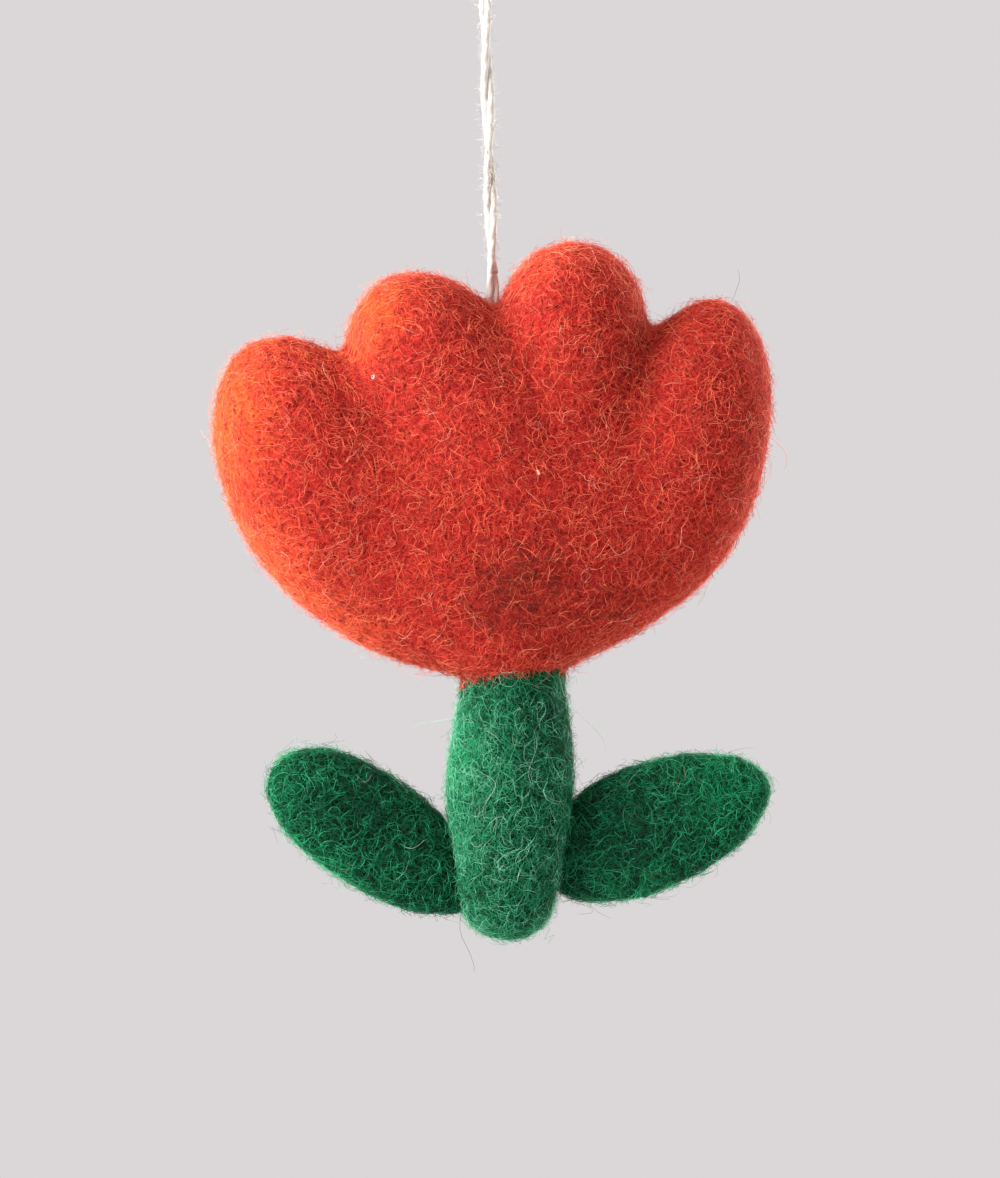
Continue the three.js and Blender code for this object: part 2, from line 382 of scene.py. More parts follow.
@dataclass(frozen=True)
class CottonFinish:
    """Soft, loosely plied cotton, with one colour on top of its plies and a darker one between them, as
    painted shade.
    """

    slot: Slot
    crown: Colour
    groove: Colour
    FLUFF_SCALE = 3200.0

    def material(self, plies: int, pitch: float) -> Material:
        """Builds the cotton's material, with ply grooves that follow the string and painted shade in
        them.

        Args:
            plies: Plies in the string.
            pitch: Length of one turn of a ply, in millimetres.

        Returns:
            The material.
        """
        made, graph, place = start_material(self.slot.value)
        along = graph.node("ShaderNodeAttribute", attribute_name="along_mm").outputs["Fac"]
        turn = graph.node("ShaderNodeAttribute", attribute_name="turn").outputs["Fac"]
        wound = graph.math("MULTIPLY", along, 2 * math.pi / pitch)
        laid = graph.math("SUBTRACT", graph.math("MULTIPLY", turn, plies), wound)
        ply = graph.math("MULTIPLY_ADD", graph.math("COSINE", laid), 0.5, 0.5)
        fluff = graph.noise(place, self.FLUFF_SCALE, 3.0, Roughness=0.65)
        # Painted shade: the darker groove colour fills the hollows between plies, broken up by the
        # fluff's random tone.
        crown_mask = graph.math("MULTIPLY_ADD", graph.math("SUBTRACT", fluff, 0.5), 1.6, ply)
        top = graph.between(crown_mask, -0.1, 0.5, (0.0, 1.0))
        graph.surface(
            {
                "Base Color": graph.mix(top, self.groove, self.crown),
                "Normal": graph.bump(graph.math("ADD", ply, fluff), 0.35, 0.08),
                "Roughness": 0.9,
                "Specular IOR Level": 0.2,
                "Sheen Weight": 0.2,
            }
        )
        return made


@dataclass(frozen=True)
class Needling:
    """How a shape is felted: size of its faces, rounds of softening and height of its lumps."""

    face: float
    rounds: int
    lumps: float


class Bench:
    """Hand operations on pieces.

    Lumps come in two sizes, each with its share of the height. A vertex belongs to the outline where its
    normal points no farther to the front or back than OUTLINE, and less and less so over OUTLINE_FADE.
    """

    LUMPS = ((9.0, 0.6), (3.2, 0.4))
    CREASE = math.radians(50)
    OUTLINE = 0.3
    OUTLINE_FADE = 0.5

    @staticmethod
    def clear() -> None:
        """Deselects everything."""
        bpy.ops.object.select_all(action="DESELECT")

    @staticmethod
    def pick(piece: Piece) -> None:
        """Makes one piece the selected, active one.

        Args:
            piece: The piece.
        """
        Bench.clear()
        piece.select_set(True)
        bpy.context.view_layer.objects.active = piece

    @staticmethod
    def finish(piece: Piece, kind: str, **settings: object) -> None:
        """Adds a modifier and applies it.

        Args:
            piece: The piece to work on.
            kind: The modifier's type.
            settings: The modifier's properties.
        """
        Bench.pick(piece)
        modifier = piece.modifiers.new(kind.lower(), kind)
        for name, setting in settings.items():
            setattr(modifier, name, setting)
        bpy.ops.object.modifier_apply(modifier=modifier.name)

    @staticmethod
    def ball(divisions: int) -> Piece:
        """Adds a unit ball of even triangles at the origin.

        Args:
            divisions: How often its faces are split.

        Returns:
            The ball.
        """
        Bench.clear()
        bpy.ops.mesh.primitive_ico_sphere_add(subdivisions=divisions, radius=1.0)
        return bpy.context.object

    @staticmethod
    def points(piece: Piece, what: str = "co") -> Rows:
        """Reads a piece's vertices.

        Args:
            piece: The piece.
            what: The vertices' places or their normals.

        Returns:
            One row of x, y and z per vertex.
        """
        flat = np.zeros(len(piece.data.vertices) * 3, np.float32)
        piece.data.vertices.foreach_get(what, flat)
        return flat.reshape(-1, 3).astype(float)

    @staticmethod
    def move(piece: Piece, points: Rows) -> None:
        """Moves a piece's vertices to the given rows."""
        piece.data.vertices.foreach_set("co", points.astype(np.float32).ravel())
        piece.data.update()

    @staticmethod
    def felt(piece: Piece, name: str, needling: Needling) -> None:
        """Gives a shape even faces, softens it and makes it slightly lumpy, as needled wool is.

        Args:
            piece: The shape to felt.
            name: The finished piece's name.
            needling: How it is felted.
        """
        piece.name = name
        Bench.finish(piece, "REMESH", mode="VOXEL", voxel_size=needling.face * MM)
        Bench.finish(piece, "SMOOTH", factor=0.5, iterations=needling.rounds)
        for size, share in Bench.LUMPS:
            texture = bpy.data.textures.new(f"{name}_lumps", "CLOUDS")
            texture.noise_scale = size * MM
            texture.noise_depth = 1
            strength = 2 * needling.lumps * share * MM
            Bench.finish(piece, "DISPLACE", texture=texture, texture_coords="LOCAL", strength=strength)
        bpy.ops.object.shade_smooth()

    @staticmethod
    def relax(piece: Piece, rounds: int) -> None:
        """Softens the valleys on a piece's front and back, and leaves its outline alone.

        Args:
            piece: The piece.
            rounds: Rounds of softening.
        """
        facing = np.abs(Bench.points(piece, "normal")[:, 1]).astype(np.float32)
        shares = np.clip((facing - Bench.OUTLINE) / Bench.OUTLINE_FADE, 0, 1)
        group = piece.vertex_groups.new(name="faces")
        for number, share in enumerate(shares.tolist()):
            group.add([number], share, "REPLACE")
        Bench.finish(piece, "SMOOTH", factor=0.5, iterations=rounds, vertex_group=group.name)
        piece.vertex_groups.clear()

    @staticmethod
    def cut(piece: Piece, tool: Piece, gap: float) -> None:
        """Takes the room of another shape, and a gap round it, out of a piece.

        Args:
            piece: The piece to cut.
            tool: The shape whose room is taken. It stays as it is.
            gap: Width of the gap, in millimetres.
        """
        Bench.pick(tool)
        bpy.ops.object.duplicate()
        room = bpy.context.object
        Bench.finish(room, "DISPLACE", strength=gap * MM, mid_level=0.0)
        Bench.finish(piece, "BOOLEAN", operation="DIFFERENCE", object=room, solver="EXACT")
        bpy.data.objects.remove(room)
        bpy.ops.object.shade_smooth_by_angle(angle=Bench.CREASE)


def smooth_route(knots: Rows, steps: int) -> Rows:
    """Draws a smooth curve through points.

    Args:
        knots: The points, one row each.
        steps: Steps between one point and the next.

    Returns:
        The curve's points, the first and last knots included.
    """
    padded = np.vstack([2 * knots[0] - knots[1], knots, 2 * knots[-1] - knots[-2]])
    share = np.linspace(0, 1, steps, endpoint=False)[:, None]
    runs = []
    for a, b, c, d in zip(padded, padded[1:], padded[2:], padded[3:]):
        bend = (2 * a - 5 * b + 4 * c - d) * share**2 + (3 * b - a - 3 * c + d) * share**3
        runs.append(0.5 * (2 * b + (c - a) * share + bend))
    return np.vstack([*runs, knots[-1:]])


def unit(rows: Rows) -> Rows:
    """Gives vectors length 1, along the last axis."""
    return rows / np.maximum(np.linalg.norm(rows, axis=-1, keepdims=True), 1e-12)


def mesh_piece(name: str, points: Rows, faces: list[Rows]) -> Piece:
    """Makes a smooth-shaded mesh object from arrays.

    Args:
        name: The object's name.
        points: One row of x, y and z per vertex.
        faces: Arrays of faces, one row of corner numbers per face, each array with its own corner count.

    Returns:
        The object, linked into the scene.
    """
    mesh = bpy.data.meshes.new(name)
    mesh.vertices.add(len(points))
    mesh.vertices.foreach_set("co", points.astype(np.float32).ravel())
    corners = np.concatenate([face.ravel() for face in faces])
    counts = np.concatenate([np.full(len(face), face.shape[1]) for face in faces])
    mesh.loops.add(len(corners))
    mesh.loops.foreach_set("vertex_index", corners.astype(np.int32))
    mesh.polygons.add(len(counts))
    mesh.polygons.foreach_set("loop_start", (np.cumsum(counts) - counts).astype(np.int32))
    mesh.polygons.foreach_set("use_smooth", np.ones(len(counts), bool))
    mesh.update(calc_edges=True)
    piece = bpy.data.objects.new(name, mesh)
    bpy.context.scene.collection.objects.link(piece)
    return piece


@dataclass(frozen=True)
class Lobe:
    """One plump ellipse of the flower, in millimetres from the string's notch, and in degrees.

    Its middle lies across to the right and below. Its length leans from +X, and its crest is how far the
    front stands out from the middle plane.
    """

    across: float
    below: float
    length: float
    width: float
    lean: float
    crest: float

    def share(self, points: Rows, inset: float, plumpness: float) -> Rows:
        """Measures how far out points lie.

        Args:
            points: Places in millimetres from the notch, by any number of axes and then x, y and z.
            inset: How far the lobe is drawn in.
            plumpness: Power of the rounding from its rim to its crest.

        Returns:
            Less than 1 inside the lobe, and 1 on its surface.
        """
        lean = math.radians(self.lean)
        right = points[..., 0] - self.across
        up = points[..., 2] + self.below
        along = (right * math.cos(lean) + up * math.sin(lean)) / (self.length / 2 - inset)
        beside = (up * math.cos(lean) - right * math.sin(lean)) / (self.width / 2 - inset)
        front = np.abs(points[..., 1]) / (self.crest - inset)
        return (np.hypot(along, beside) ** plumpness + front**plumpness) ** (1 / plumpness)


@dataclass
class Flower:
    """The red flower head: plump lobes run together, a bowl with a collar below and petals above.

    The dyed felt is drawn in by the depth of its coat of fibres, as on the stem and the leaves.
    """

    notch: float = -83.975
    heart_below: float = 28.0
    flatness: float = 0.44
    plumpness: float = 2.3
    crease: float = 0.1
    coat: float = 0.5
    cover: float = 3.0
    seam: float = 0.3
    farthest: float = 60.0
    stride: float = 0.5
    relaxing: int = 85
    felt: Needling = Needling(0.6, 12, 0.28)
    wool: Needling = Needling(1.0, 4, 0.12)
    bowl: Lobe = Lobe(0.45, 28.6, 64, 48.6, 5.3, 14.8)
    collar: Lobe = Lobe(0.6, 48.5, 20, 10.5, 0, 10.5)
    outer_left: Lobe = Lobe(-25.85, 23.45, 42, 26.5, 113.8, 14.6)
    inner_left: Lobe = Lobe(-9.45, 7.2, 25.7, 22.2, 126.5, 14.6)
    inner_right: Lobe = Lobe(11.15, 2.4, 22.4, 21, 84.6, 14.2)
    outer_right: Lobe = Lobe(27.55, 20.2, 41.8, 22.3, 76.5, 13.8)
    left_ridge: Lobe = Lobe(-1.5, 17, 36, 21, 116, 14.9)
    right_ridge: Lobe = Lobe(12, 10.5, 30, 19, 84, 14.0)

    def _share(self, points: Rows, inset: float) -> Rows:
        """Measures how far out points lie in the lobes run together.

        Args:
            points: Places in millimetres from the notch.
            inset: How far the felt is drawn in.

        Returns:
            Less than 1 inside the felt, and 1 on its surface.
        """
        petals = (self.outer_left, self.inner_left, self.inner_right, self.outer_right)
        total = 0.0
        for lobe in (self.bowl, self.collar, *petals, self.left_ridge, self.right_ridge):
            total = total + np.exp(-lobe.share(points, inset, self.plumpness) / self.crease)
        return -self.crease * np.log(total)

    def _form(self, name: str, inset: float, needling: Needling) -> Piece:
        """Swells a ball out from the flower's heart until it fills the felt's outline.

        Args:
            name: The piece's name.
            inset: How far the felt is drawn in.
            needling: How it is felted.

        Returns:
            The piece.
        """
        ball = Bench.ball(6)
        ways = unit(Bench.points(ball) * (1, self.flatness, 1))
        heart = np.array([0, 0, -self.heart_below])
        gone = np.arange(0, self.farthest, self.stride)
        shares = self._share(heart + ways[:, None] * gone[:, None], inset)
        last = len(gone) - 1 - np.argmax(shares[:, ::-1] <= 1, axis=1)
        rows = np.arange(len(ways))
        low = shares[rows, last]
        high = shares[rows, last + 1]
        reach = gone[last] + self.stride * (1 - low) / (high - low)
        Bench.move(ball, (heart + ways * reach[:, None] + (0, 0, self.notch)) * MM)
        Bench.felt(ball, name, needling)
        return ball

    def build(self) -> Piece:
        """Makes the dyed felt, still without its cavity.

        Returns:
            The felt.
        """
        felt = self._form("flower_felt", self.coat, self.felt)
        Bench.relax(felt, self.relaxing)
        return felt

    def build_core(self) -> Piece:
        """Makes the wool core that the felt is needled onto."""
        return self._form("flower_wool", self.coat + self.cover + self.seam, self.wool)


@dataclass
class Stem:
    """The green stem, a felted roll pushed into the flower. Heights run from where it enters."""

    across: float = 1.4
    top: float = -138.163
    lean: float = 3.2
    length: float = 36.8
    neck: float = 15.6
    belly: float = 18.8
    belly_drop: float = 14.2
    waist: float = 15.8
    waist_drop: float = 27.6
    foot: float = 14.0
    foot_round: float = 5.5
    socket: float = 4.0
    tenon: float = 4.0
    coat: float = 0.5
    cover: float = 2.5
    seam: float = 0.3
    sides: int = 48
    felt: Needling = Needling(0.5, 5, 0.35)
    wool: Needling = Needling(0.8, 5, 0.1)

    def frame(self) -> Matrix:
        """Gives the place and lean that the stem and its leaves share."""
        place = Matrix.Translation((self.across * MM, 0, self.top * MM))
        return place @ Matrix.Rotation(math.radians(self.lean), 4, "Y")

    def _form(self, name: str, inset: float, top: float, needling: Needling) -> Piece:
        """Spins the stem's outline about its axis and felts it.

        Args:
            name: The piece's name.
            inset: How far the outline is drawn in.
            top: Height of its flat top.
            needling: How it is felted.

        Returns:
            The piece.
        """
        low = self.foot_round - self.length
        angles = np.radians(np.linspace(-90, 0, 9))
        foot = np.column_stack([np.cos(angles) * self.foot / 2, low + self.foot_round * np.sin(angles)])
        knots = [
            (self.foot / 2, low),
            (self.waist / 2, -self.waist_drop),
            (self.belly / 2, -self.belly_drop),
            (self.neck / 2, 0.0),
            (self.neck / 2, self.socket),
        ]
        side = np.vstack([foot, smooth_route(np.array(knots), 10)[1:]])
        way = unit(np.gradient(side, axis=0))
        side = side - inset * np.column_stack([way[:, 1], -way[:, 0]])
        side[0, 0] = 0
        side[-1, 1] = top
        verts = [(radius * MM, 0, height * MM) for radius, height in side] + [(0, 0, top * MM)]
        mesh = bpy.data.meshes.new(name)
        mesh.from_pydata(verts, [(n, n + 1) for n in range(len(verts) - 1)], [])
        stem = bpy.data.objects.new(name, mesh)
        bpy.context.scene.collection.objects.link(stem)
        Bench.finish(stem, "SCREW", axis="Z", steps=self.sides, render_steps=self.sides)
        bpy.ops.object.mode_set(mode="EDIT")
        bpy.ops.mesh.select_all(action="SELECT")
        bpy.ops.mesh.remove_doubles(threshold=1e-6)
        bpy.ops.mesh.normals_make_consistent(inside=False)
        bpy.ops.object.mode_set(mode="OBJECT")
        stem.data.transform(self.frame())
        Bench.felt(stem, name, needling)
        return stem

    def build(self) -> Piece:
        """Makes the dyed felt, still without its cavity."""
        return self._form("stem_felt", self.coat, self.socket, self.felt)

    def build_core(self) -> Piece:
        """Makes the wool core, which runs on into the flower as a tenon."""
        inset = self.coat + self.cover + self.seam
        return self._form("stem_wool", inset, self.socket + self.tenon, self.wool)


@dataclass
class Leaf:
    """A plump leaf felted to the stem's side. Sizes are in millimetres and degrees."""

    name: str
    side: int
    rise: float
    length: float
    width: float
    tilt: float
    forward: float
    swell: float
    thickness: float = 10.5
    fullness: float = 2.7
    coat: float = 0.5
    root: float = 4.4
    back: float = 3.5
    felt: Needling = Needling(0.5, 5, 0.5)

    def build(self, stem: Stem) -> Piece:
        """Shapes a flat egg with a full rim and sets it at the stem's side.

        Args:
            stem: The stem's sizes.

        Returns:
            The leaf, not yet trimmed to the stem.
        """
        ball = Bench.ball(5)
        along, front, up = Bench.points(ball).T
        plan = np.hypot(along, up)
        rounding = (plan**self.fullness + np.abs(front) ** self.fullness) ** (-1 / self.fullness)
        along, front, up = along * rounding, front * rounding, up * rounding
        shape = [
            self.root + self.length / 2 + along * (self.length / 2 - self.coat),
            front * (self.thickness / 2 - self.coat),
            up * (1 + self.swell * along) * (self.width / 2 - self.coat),
        ]
        Bench.move(ball, np.column_stack(shape) * MM)
        heading = -self.forward if self.side > 0 else 180 + self.forward
        turn = Matrix.Rotation(math.radians(heading), 4, "Z")
        turn = turn @ Matrix.Rotation(math.radians(-self.tilt), 4, "Y")
        place = Matrix.Translation((0, self.back * MM, (self.rise - stem.length) * MM))
        ball.data.transform(stem.frame() @ place @ turn)
        Bench.felt(ball, self.name, self.felt)
        return ball


@dataclass
class HangingString:
    """The doubled cotton string, from the notch up round its open loop and down again, in millimetres."""

    diameter: float = 0.85
    fluffed: float = 1.08
    spacing: float = 0.86
    notch: float = -84.0
    foot: float = -80.0
    throat: float = -24.0
    half_turn: float = 15.0
    eye_height: float = 24.0
    eye_width: float = 11.0
    knot_depth: float = 98.0
    knot_radius: float = 1.6
    plies: int = 2
    ply_depth: float = 0.05
    ply_pitch: float = 2.8
    sides: int = 14
    ring_step: float = 0.25
    hairs: int = 2600
    hair_steps: int = 5
    hair_length: Span = (0.4, 1.4)
    hair_radius: Span = (0.014, 0.028)
    hair_root: float = 0.44
    hair_stand: float = 0.6
    hair_bow: float = 0.3
    bare_points: int = 12
    yarn_wander: float = 0.1
    yarn_roughness: float = 0.02
    hole_radius: float = 0.7
    hole_depth: float = 22.0
    chamber_radius: float = 3.0
    chamber_half: float = 1.6
    hole_face: float = 0.3

    def _leg(self, side: int, low: float, high: float) -> Rows:
        """Gives one leg's line, which winds round the other leg down to the notch.

        Args:
            side: -1 for the left leg, 1 for the right one.
            low: Height of its foot.
            high: Height of its top.

        Returns:
            The points.
        """
        height = np.arange(low, high, self.ring_step)
        angle = np.maximum(height - self.notch, 0) / self.half_turn * math.pi
        reach = side * self.spacing / 2
        return np.column_stack([reach * np.cos(angle), reach * np.sin(angle), height])

    def _eye(self) -> Rows:
        """Gives the open loop's line from the left end of the throat to the right end.

        Returns:
            The points.
        """
        shares = np.array([[0.42, 0.72], [0.86, 0.46], [1.0, 0.26], [0.78, 0.08]])
        wide = shares[:, 0] * self.eye_width / 2
        sides = np.column_stack([wide, np.zeros(len(wide)), -shares[:, 1] * self.eye_height])
        half = self.spacing / 2
        throat = np.array([[half, 0, self.throat], [half, 0, self.throat + self.diameter]])
        right = np.vstack([throat, sides])
        crown = np.array([[0, 0, self.diameter / 2]])
        return smooth_route(np.vstack([right * (-1, 1, 1), crown, right[::-1]]), 24)

    def route(self) -> Rows:
        """Gives the free string's line in metres, from the left foot round the loop to the right foot."""
        left, right = (self._leg(side, self.foot, self.throat) for side in (-1, 1))
        return np.vstack([left, self._eye(), right[::-1]]) * MM

    def _yarn(self, route: Rows, rng: Chance) -> tuple[Rows, Rows, Rows]:
        """Wraps a plied, round-ended, slightly uneven tube round a line.

        Args:
            route: The line's points in metres.
            rng: Source of the unevenness.

        Returns:
            The vertices, the faces as rows of four, and each vertex's length along and turn around.
        """
        gone = np.concatenate([[0], np.cumsum(np.linalg.norm(np.diff(route, axis=0), axis=1))])
        rings = np.arange(0, gone[-1], self.ring_step * MM)
        route = np.column_stack([np.interp(rings, gone, route[:, k]) for k in range(3)])
        along = unit(np.gradient(route, axis=0))
        side = np.cross(along[0], (0.0, 1.0, 0.0))
        sides = []
        for direction in along:
            side = unit(side - direction * (side @ direction))
            sides.append(side)
        sides = np.array(sides)
        ups = np.cross(along, sides)
        radius = self.fluffed / 2 * MM
        cap = np.minimum(np.minimum(rings, rings[-1] - rings) / radius, 1)
        swell = np.sqrt(np.maximum(1 - (1 - cap) ** 2, 0.02))
        jitter = rng.normal(0, self.yarn_wander, len(rings) + 8)
        wander = np.convolve(jitter, np.ones(9) / 9, mode="valid")
        turn = np.arange(self.sides) * 2 * math.pi / self.sides
        lay = self.plies * turn - rings[:, None] / (self.ply_pitch * MM) * 2 * math.pi
        plied = 1 - self.ply_depth * (1 - np.cos(lay)) + rng.normal(0, self.yarn_roughness, lay.shape)
        reach = radius * (swell * (1 + wander))[:, None] * plied
        spokes = np.cos(turn)[:, None] * sides[:, None] + np.sin(turn)[:, None] * ups[:, None]
        points = route[:, None] + reach[..., None] * spokes
        ring = np.arange(len(rings) - 1)[:, None] * self.sides
        corner = np.arange(self.sides)
        after = (corner + 1) % self.sides
        above = ring + self.sides
        faces = np.stack([ring + corner, ring + after, above + after, above + corner], axis=-1)
        places = np.column_stack([np.repeat(rings / MM, self.sides), np.tile(turn, len(rings))])
        return points.reshape(-1, 3), faces.reshape(-1, 4), places

    def _tube(self, name: str, routes: list[Rows], seed: int) -> Piece:
        """Makes one piece of plied yarn along lines, with closed ends.

        Args:
            name: The piece's name.
            routes: The lines.
            seed: Seed of the yarn's unevenness.

        Returns:
            The piece, with the length along and the turn around kept as attributes.
        """
        rng = np.random.default_rng(seed)
        points, faces, caps, places, start = [], [], [], [], 0
        ends = np.arange(self.sides)
        for route in routes:
            tube, quads, place = self._yarn(route, rng)
            points.append(tube)
            faces.append(quads + start)
            caps.append(np.stack([ends[::-1] + start, ends + start + len(tube) - self.sides]))
            places.append(place)
            start += len(tube)
        piece = mesh_piece(name, np.vstack(points), [np.vstack(faces), np.vstack(caps)])
        for label, values in zip(("along_mm", "turn"), np.vstack(places).T):
            attribute = piece.data.attributes.new(label, "FLOAT", "POINT")
            attribute.data.foreach_set("value", values.astype(np.float32))
        return piece

    def build(self) -> Piece:
        """Makes the free string."""
        return self._tube("hanging_string", [self.route()], STRING_SEED)

    def build_anchor(self) -> Piece:
        """Makes the string's buried ends and the knot on them.

        Returns:
            The anchor, which overlaps the free string's feet by a string's width.
        """
        tails = [self._leg(side, -self.knot_depth, self.foot + self.diameter) for side in (-1, 1)]
        # Two turns with three waves in all make an overhand knot
        turn = np.linspace(0, 4 * math.pi, 160)
        wave = 1.5 * turn
        ring = self.knot_radius * (2 + np.cos(wave)) / 2
        rise = self.knot_radius * np.sin(wave) / 2 - self.knot_depth
        knot = np.column_stack([ring * np.cos(turn), ring * np.sin(turn), rise])
        return self._tube("string_anchor", [line * MM for line in (*tails, knot)], ANCHOR_SEED)

    def fuzz(self, rng: Chance) -> "Strands":
        """Sets short hairs on the free string.

        Args:
            rng: Source of chance.

        Returns:
            The hairs.
        """
        route = self.route()
        number = rng.integers(self.bare_points, len(route) - self.bare_points, self.hairs)
        along = unit(route[number + 1] - route[number - 1])
        out = unit(np.cross(along, rng.normal(size=along.shape)))
        lean = unit(out * self.hair_stand + along * rng.normal(0, 1, (self.hairs, 1)))
        share = np.linspace(0, 1, self.hair_steps)[:, None]
        reach = rng.uniform(*self.hair_length, (self.hairs, 1, 1)) * MM
        start = (route[number] + out * self.fluffed * self.hair_root * MM)[:, None]
        bow = np.cross(lean, rng.normal(0, self.hair_bow, along.shape))[:, None]
        lines = start + reach * (lean[:, None] * share + bow * share**2)
        radii = rng.uniform(*self.hair_radius, self.hairs) * MM
        ups = np.repeat(out[:, None], self.hair_steps, axis=1)
        return Strands(lines, ups, radii, np.zeros(self.hairs, int))

    def build_channel(self) -> Piece:
        """Makes the shape of the hole that the string's ends and knot press into the wool.

        Returns:
            The hole's shape.
        """
        Bench.clear()
        bpy.ops.mesh.primitive_cylinder_add(vertices=24, radius=1.0, depth=1.0)
        rod = bpy.context.object
        chamber = Bench.ball(4)
        shapes = (
            (rod, self.knot_depth - self.hole_depth / 2, self.hole_radius, self.hole_depth),
            (chamber, self.knot_depth, self.chamber_radius, self.chamber_half),
        )
        for shape, depth, radius, height in shapes:
            size = Matrix.Diagonal((radius * MM, radius * MM, height * MM, 1))
            shape.data.transform(Matrix.Translation((0, 0, -depth * MM)) @ size)
        rod.select_set(True)
        bpy.context.view_layer.objects.active = rod
        bpy.ops.object.join()
        Bench.finish(rod, "REMESH", mode="VOXEL", voxel_size=self.hole_face * MM)
        return rod


class Ground:
    """A felt surface that fibres lie on."""

    def __init__(self, piece: Piece) -> None:
        """Takes the surface of a piece as it is now.

        Args:
            piece: The felt piece.
        """
        points = Bench.points(piece)
        piece.data.calc_loop_triangles()
        flat = np.zeros(len(piece.data.loop_triangles) * 3, np.int32)
        piece.data.loop_triangles.foreach_get("vertices", flat)
        triangles = flat.reshape(-1, 3)
        self.tree = BVHTree.FromPolygons(points.tolist(), triangles.tolist())
        self.corners = points[triangles]
        self.low = points.min(axis=0)
        self.high = points.max(axis=0)
        spans = np.cross(self.corners[:, 1] - self.corners[:, 0], self.corners[:, 2] - self.corners[:, 0])
        self.normals = unit(spans)
        self.area_sums = np.cumsum(np.linalg.norm(spans, axis=1))

    def scatter(self, count: int, rng: Chance) -> tuple[Rows, Rows]:
        """Drops points evenly on the surface.

        Args:
            count: How many points.
            rng: Source of chance.

        Returns:
            The points and the normals there.
        """
        faces = np.searchsorted(self.area_sums, rng.random(count) * self.area_sums[-1])
        share = np.sqrt(rng.random((count, 1)))
        other = rng.random((count, 1))
        first, second, third = np.moveaxis(self.corners[faces], 1, 0)
        points = (1 - share) * first + share * ((1 - other) * second + other * third)
        return points, self.normals[faces]

    def nearest(self, points: Rows) -> tuple[Rows, Rows]:
        """Finds the closest places on the surface.

        Args:
            points: One row per point.

        Returns:
            The places and the normals there.
        """
        hits = [self.tree.find_nearest(point) for point in points.tolist()]
        found = np.array([(hit[0], hit[1]) for hit in hits]).reshape(-1, 2, 3)
        return found[:, 0], found[:, 1]

    def holds(self, points: Rows) -> Rows:
        """Tells which points lie inside the shape.

        Args:
            points: One row per point.

        Returns:
            One truth value per point.
        """
        inside = np.all((points > self.low) & (points < self.high), axis=1)
        near, normals = self.nearest(points[inside])
        inside[inside] = ((points[inside] - near) * normals).sum(axis=1) < 0
        return inside

    def front(self, across: float, height: float) -> Vector:
        """Finds the place on the front of the shape, or in its middle plane where it isn't that wide."""
        hit = self.tree.ray_cast(Vector((across, -1, height)), Vector((0, 1, 0)))[0]
        return hit or Vector((across, 0, height))


@dataclass
class Strands:
    """Loose fibres as lines.

    The lines' points, in metres, and the directions away from the felt run by fibre, step and axis. Each
    fibre has a radius, in metres, and the number of its tint.
    """

    lines: Rows
    ups: Rows
    radii: Rows
    tints: Rows

    def only(self, wanted: Rows | slice) -> "Strands":
        """Picks some of the fibres."""
        return Strands(self.lines[wanted], self.ups[wanted], self.radii[wanted], self.tints[wanted])

    def clear_of(self, ground: Ground) -> "Strands":
        """Drops the fibres that run into a shape, and gives the others."""
        inside = ground.holds(self.lines.reshape(-1, 3))
        return self.only(~inside.reshape(self.lines.shape[:2]).any(axis=1))

    def build(self, name: str, materials: list[Material]) -> Piece:
        """Makes thin, tapered, closed three-sided tubes along the fibres.

        Args:
            name: The piece's name.
            materials: The material of each tint number.

        Returns:
            The piece.
        """
        count, steps = self.lines.shape[:2]
        along = unit(np.gradient(self.lines, axis=1))
        side = unit(np.cross(along, self.ups))
        up = np.cross(side, along)
        turn = np.radians((0, 120, 240))[:, None]
        spokes = np.cos(turn) * up[:, :, None] + np.sin(turn) * side[:, :, None]
        taper = np.sin(np.linspace(0.2, 0.8, steps) * math.pi)
        points = self.lines[:, :, None] + (self.radii[:, None] * taper)[..., None, None] * spokes
        first = np.arange(count)[:, None, None] * steps * 3
        ring = first + np.arange(steps - 1)[:, None] * 3
        corner = np.arange(3)
        after = (corner + 1) % 3
        walls = np.stack([ring + corner, ring + after, ring + 3 + after, ring + 3 + corner], axis=-1)
        starts = first[:, 0] + corner[::-1]
        ends = first[:, 0] + (steps - 1) * 3 + corner
        piece = mesh_piece(name, points.reshape(-1, 3), [walls.reshape(-1, 4), starts, ends])
        for material in materials:
            piece.data.materials.append(material)
        tints = np.concatenate([np.repeat(self.tints, (steps - 1) * 3), self.tints, self.tints])
        piece.data.polygons.foreach_set("material_index", tints.astype(np.int32))
        return piece


